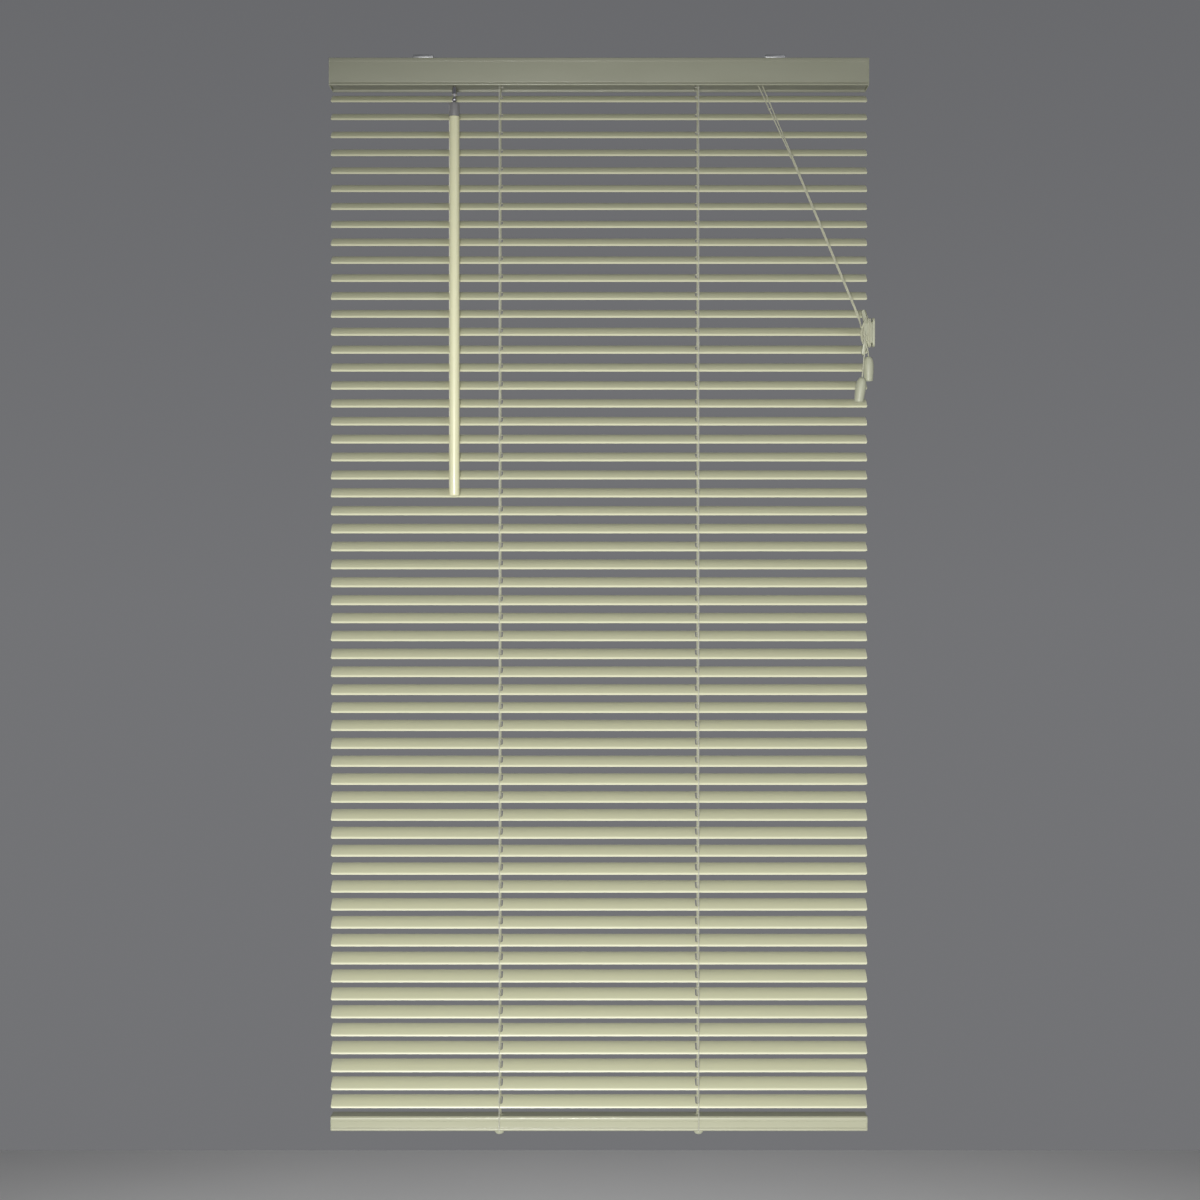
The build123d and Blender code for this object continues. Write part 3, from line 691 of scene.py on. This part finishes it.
slat_shape, rungs_shape = slat_mesh(), rung_mesh()
slat_shape.materials.append(finish["slat_paint"])
rungs_shape.materials.append(finish["ladder_string"])
for number in range(1, SLAT_COUNT + 1):
    height = FIRST_SLAT_Z - (number - 1) * SLAT_PITCH
    slat = linked(f"slat_{number:02d}_strip", slat_shape, (0, 0, height))
    slat.rotation_euler.x = radians(0.35 * sin(number * 2.3) + 0.2 * sin(number * 5.9))     # uneven hang
    if number % 2:
        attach(slat, ROOT)
        follow = slat.constraints.new("COPY_ROTATION")
        follow.target = bodies["slat_02_body"]
        follow.mix_mode = "ADD"
    else:
        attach(slat, f"slat_{number:02d}_body")
        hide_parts(f"slat_{number:02d}")
    gathers(slat, number)
    if number == 1:
        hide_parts("slats_odd")
    rungs = linked(f"rungs_{number:02d}", rungs_shape)
    rungs.parent = slat


# ---------------------------------------------------------------- ladders and lift cords

def edge_follower(name, y, body):
    """An empty on a body that also moves as the slats' front or rear edges do."""
    height = FIRST_SLAT_Z - SLAT_PITCH + y * tan(radians(SLAT_TILT))
    edge = linked(f"{name}_edge", None, (0, y, height))
    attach(edge, "slat_02_body")
    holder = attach(linked(name, None), body)
    follow = holder.constraints.new("TRANSFORM")
    follow.target = edge
    follow.map_from = follow.map_to = "LOCATION"
    follow.mix_mode = "ADD"
    span = 0.05            # metres, more than an edge ever moves
    follow.from_min_y, follow.from_max_y = edge.location.y - span, edge.location.y + span
    follow.from_min_z, follow.from_max_z = edge.location.z - span, edge.location.z + span
    follow.to_min_y, follow.to_max_y = -span, span
    follow.to_min_z, follow.to_max_z = -span, span
    return holder


def hooked(obj, holder, fully, free):
    """The end of a string at height fully goes with the holder, and from free on it stays put."""
    group = obj.vertex_groups.new(name="hooked")
    for v in obj.data.vertices:
        weight = min(1, max(0, (v.co.z / MM - free) / (fully - free)))
        if weight:
            group.add([v.index], weight, "REPLACE")
    bpy.context.view_layer.update()
    hook = obj.modifiers.new("follow", "HOOK")
    hook.object = holder
    hook.vertex_group = "hooked"
    hook.matrix_inverse = holder.matrix_world.inverted() @ obj.matrix_world


def shortened(obj):
    """Gives the string a mesh of its own."""
    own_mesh(obj)


STRING = 1.15                              # a ladder string's thickness
ROD_Z, DRUM_Y = -19, 7.7                   # the strings leave the drums here, in front and behind
UPRIGHT_TOP, UPRIGHT_LOW = RAIL_BOTTOM + 1.0, -1256.5
WRAP_Y, WRAP_Z, BUTTON_Y = 13.7, -1286.3, -6           # round the bottom rail and into its button
for edge_name, y, drum_y, wrap_y in (
    ("front", LADDER_FRONT, -DRUM_Y, -WRAP_Y), ("rear", LADDER_REAR, DRUM_Y, WRAP_Y),
):
    by_rail = edge_follower(f"{edge_name}_strings", y, ROOT)
    by_bottom = edge_follower(f"{edge_name}_string_ends", y, "bottom_rail_body")
    for side, sign in (("left", -1), ("right", 1)):
        x = sign * LADDER_X
        fall = UPRIGHT_LOW - UPRIGHT_TOP
        line = [Vector((x, y, UPRIGHT_TOP + fall * k / 240)) * MM for k in range(241)]
        upright = tube_mesh(f"ladder_{side}_{edge_name}", line, STRING / 2 * MM, 8)
        dress(upright, "ladder_string")
        if edge_name == "front":
            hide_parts(f"ladder_{side}")
        shortened(upright)
        upright.parent = by_rail
        top = placed(drawn(
            f"ladder_{side}_{edge_name}_top",
            [(x, drum_y, ROD_Z), (x, drum_y * 1.05, -25), (x, y, -31), (x, y, UPRIGHT_TOP - 0.5)],
            STRING,
        ), ROOT, "ladder_string")
        hooked(top, by_rail, UPRIGHT_TOP, -22)
        tail = placed(drawn(
            f"ladder_{side}_{edge_name}_end",
            [(x, y, UPRIGHT_LOW + 0.5), (x, y, -1261), (x, wrap_y, -1266.5), (x, wrap_y, -1272),
             (x, wrap_y, -1283), (x, wrap_y, WRAP_Z + 0.1), (x, wrap_y * 0.86, WRAP_Z),
             (x, BUTTON_Y, WRAP_Z)],
            STRING, smooth=12,
        ), "bottom_rail_body", "ladder_string")
        hooked(tail, by_bottom, UPRIGHT_LOW, -1266)

LIFT_LOW = -1277.0
RUN_Y = 13.6               # the lift cords run to the lock along the rear of the headrail
for side, x, exit_x, z in (
    ("left", -CORD_X, LEFT_EXIT_X, -31.0), ("right", CORD_X, RIGHT_EXIT_X, -29.0),
):
    line = [Vector((x, 0, z + (LIFT_LOW - z) * k / 200)) * MM for k in range(201)]
    drop = tube_mesh(f"lift_cord_{side}", line, CORD / 2 * MM, 8)
    placed(drop, ROOT, "braided_cord")
    if side == "left":
        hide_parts("lift_cords")
    shortened(drop)
    placed(drawn(
        f"lift_cord_{side}_run",
        [(x, 0, z - 1), (x, 0, z), (x + 6, RUN_Y, z), (x + 20, RUN_Y, z), (exit_x - 10, RUN_Y, z),
         (exit_x, RUN_Y, z), (exit_x, 2, z), (exit_x, -12, z), (exit_x, EXIT_Y, z),
         (exit_x, EXIT_Y, RAIL_BOTTOM + 0.2)],
        CORD,
    ), ROOT, "braided_cord")


# ---------------------------------------------------------------- headrail

TILTER_X = -172.5
RAIL_MIDDLE_Y, RAIL_SHEET = -2.0, 0.8
FLOOR_CUT = (-35.5, -32.5)                 # from below the headrail's floor to above it


def headrail():
    """A folded channel, open at the top, with holes for the ladders, the spindle and the pull cords."""
    front = [
        (-15.4, -4.4, 0), (-19.6, -4.4, 0.7), (-19.6, -8.3, 0.5), (-18.9, -8.9, 0.5), (-18.9, -32.9, 0.5),
        (-18.1, -33.4, 0.5), (-18.1, -34.5, 0.5), (-19.6, -35.0, 0.7), (-19.6, -36.6, 0.9),
        (-17.2, -36.6, 0.9), (-17.0, -34.0, 0.7),
    ]
    rear = [(2 * RAIL_MIDDLE_Y - y, z, r) for y, z, r in reversed(front)]
    rail = prism("headrail_channel", folded(front + rear, RAIL_SHEET), -RAIL_HALF, RAIL_HALF)
    holes = [box((x - 3, x + 3), (-13.3, 13.4), FLOOR_CUT) for x in (-CORD_X, CORD_X)]
    holes.append(upright_rod(3.2, TILTER_X, -14.3, (-36, -32)))
    holes.append(box((188.0, 197.8), (-16.7, -13.3), FLOOR_CUT))
    # The headrail takes the darker copy of the rail paint, which is painted shade.
    return placed(cut(rail, *holes), ROOT, "rail_paint", "headrail", material=shaded_headrail_enamel)


headrail()
for node, width in (
    ("end_cap_left", 0.45), ("end_cap_right", 0.45), ("ceiling_clips", 0.25), ("clip_lever_left", 0.3),
    ("clip_lever_right", 0.3), ("tilter_housing", 0.3), ("drum_cradles", 0.25), ("cord_lock_body", 0.3),
    ("cord_lock_pawl", 0.25), ("bottom_rail_caps", 0.5), ("cleat", 0.55),
):
    softened(node, width)


# ---------------------------------------------------------------- bottom rail

EYELET = [
    (2.5, -0.6), (2.5, 0.1), (2.7, 0.35), (3.0, 0.4), (3.5, 0.3), (3.8, 0.0), (3.8, -0.2), (2.5, -0.6),
]
BUTTON = [
    (0, -5.0), (1.6, -4.95), (3.2, -4.5), (4.5, -3.5), (5.3, -2.3), (5.75, -0.9), (5.8, -0.2), (5.6, 0),
    (3.0, 0), (3.0, 3.5), (0, 3.5),
]


def bottom_rail():
    """A rolled tube with a raised edge above and below, and a hole for each lift cord."""
    front = [
        (-11.2, BOTTOM_TOP, 1.4), (-12.9, BOTTOM_TOP - 1.6, 1.6), (-13.0, BOTTOM_TOP - 4.6, 1.8),
        (-12.1, BOTTOM_TOP - 6.4, 0.9), (-11.6, BOTTOM_LOW + 4.2, 0.7), (-12.9, BOTTOM_LOW + 2.9, 0.9),
        (-13.0, BOTTOM_LOW + 0.9, 0.9), (-11.8, BOTTOM_LOW, 0.9),
    ]
    rear = [(-y, z, r) for y, z, r in reversed(front)]
    rail = prism("bottom_rail_tube", rounded(front + rear, step=12), -BOTTOM_HALF, BOTTOM_HALF)
    holes = [upright_rod(2.5, x, 0, (BOTTOM_TOP - 6, BOTTOM_TOP + 3)) for x in (-CORD_X, CORD_X)]
    return placed(cut(rail, *holes), "bottom_rail_body", "rail_paint", "bottom_rail")


bottom_rail()
for side, sign in (("left", -1), ("right", 1)):
    eyelet = turned(f"eyelet_{side}", EYELET, (sign * CORD_X, 0, BOTTOM_TOP))
    placed(eyelet, "bottom_rail_body", "cap_plastic")
    at = (sign * LADDER_X, BUTTON_Y, BOTTOM_LOW)
    button = turned(f"ladder_button_{side}", BUTTON, at, squeeze=(1, 0.8))
    placed(button, "bottom_rail_body", "cap_plastic")
    if side == "left":
        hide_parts("ladder_buttons")


# ---------------------------------------------------------------- wand

WAND_AT = (TILTER_X, -19.598, 0)           # the wand's axis
WAND = [
    (0, -74.4), (5.9, -74.4), (6.2, -74.7), (6.25, -75.2), (6.25, -524.4), (6.1, -525.6), (5.6, -526.5),
    (5.0, -526.8), (0, -526.8),
]
COLLAR = [
    (1.7, -63.0), (1.7, -58.6), (4.9, -58.5), (5.7, -58.8), (6.15, -59.5), (6.3, -60.4), (6.3, -73.7),
    (6.15, -74.1), (5.7, -74.3), (0, -74.3), (0, -67), (2.8, -67), (2.8, -63.0), (1.7, -63.0),
]
SWIVEL = [
    (0, -66.0), (2.6, -66.0), (2.6, -64.6), (1.5, -64.6), (1.5, -58.9), (1.35, -57.6), (1.6, -56.9),
    (2.2, -56.5), (2.75, -55.6), (3.0, -54.4), (2.85, -53.6), (2.45, -53.5), (2.3, -54.6), (1.6, -55.5),
    (0, -56.0),
]
placed(turned("wand_tube", WAND, WAND_AT, 64), "wand_body", "wand_plastic", "wand")
placed(turned("wand_collar_cap", COLLAR, WAND_AT, 64), "wand_body", "collar_plastic", "wand_collar")
placed(turned("wand_swivel", SWIVEL, WAND_AT, 40), "wand_joint", "bright_metal", "wand_hook")


# ---------------------------------------------------------------- CAD pieces that are seen as they are

for name, obj in nodes.items():
    if not obj.hide_render:
        for place in obj.material_slots:
            place.material = finish[slot_of[name]]


# ---------------------------------------------------------------- floor and light

# Metres from here on.
FLOOR_Z = -3.2


def stage_floor():
    bm = bmesh.new()
    place = Matrix.Translation((0, -2, FLOOR_Z))
    bmesh.ops.create_grid(bm, x_segments=2, y_segments=2, size=9, matrix=place)
    floor = from_bmesh("floor", bm)
    pale = surface("pale_floor", (0.78, 0.775, 0.76), 0.8, mottle=0.01, blotch=1, bump=0.0)
    floor.data.materials.append(pale)


def lamp(name, kind, at, aim, size, power, colour, **more):
    """A round lamp that the camera doesn't see, with its width as size."""
    made = bpy.data.lights.new(name, kind)
    made.energy = power
    made.color = colour
    for key, value in more.items():
        setattr(made, key, value)
    if kind == "AREA":
        made.shape = "DISK"
        made.size = size
    else:
        made.shadow_soft_size = size / 2
    obj = linked(name, made)
    obj.location = at
    obj.visible_camera = False
    obj.rotation_euler = (Vector(aim) - Vector(at)).to_track_quat("-Z", "Y").to_euler()


def studio():
    """A grey surround, a little darker overhead."""
    world = bpy.data.worlds.new("studio")
    world.use_nodes = True
    tree = world.node_tree
    add, link = tree.nodes.new, tree.links.new
    place = add("ShaderNodeTexCoord")
    split = add("ShaderNodeSeparateXYZ")
    ramp = add("ShaderNodeValToRGB")
    link(place.outputs["Generated"], split.inputs["Vector"])
    link(split.outputs["Z"], ramp.inputs["Fac"])
    stops = ((0.0, (0.17, 0.172, 0.18, 1)), (0.7, (0.10, 0.102, 0.11, 1)))
    for element, (position, colour) in zip(ramp.color_ramp.elements, stops):
        element.position = position
        element.color = colour
    link(ramp.outputs["Color"], tree.nodes["Background"].inputs["Color"])
    scene.world = world


stage_floor()
studio()
lamp(
    "key", "SPOT", (-0.2, -3.3, -0.9), (0, 0, -0.94), 0.5, 400, (1.0, 1.0, 0.965),
    spot_size=radians(42), spot_blend=0.9,
)
lamp("fill", "AREA", (1.9, -2.6, 0.5), (0, 0, -0.7), 1.4, 9, (0.95, 0.97, 1.0))
lamp("back", "AREA", (-1.6, 2.4, 0.2), (0, 0, -0.7), 1.4, 9, (0.97, 0.98, 1.0))
lamp("floor_wash", "AREA", (0, 0.5, -1.5), (0, 0.501, FLOOR_Z), 12.0, 170, (1.0, 1.0, 1.0))
scene.view_settings.view_transform = "Standard"
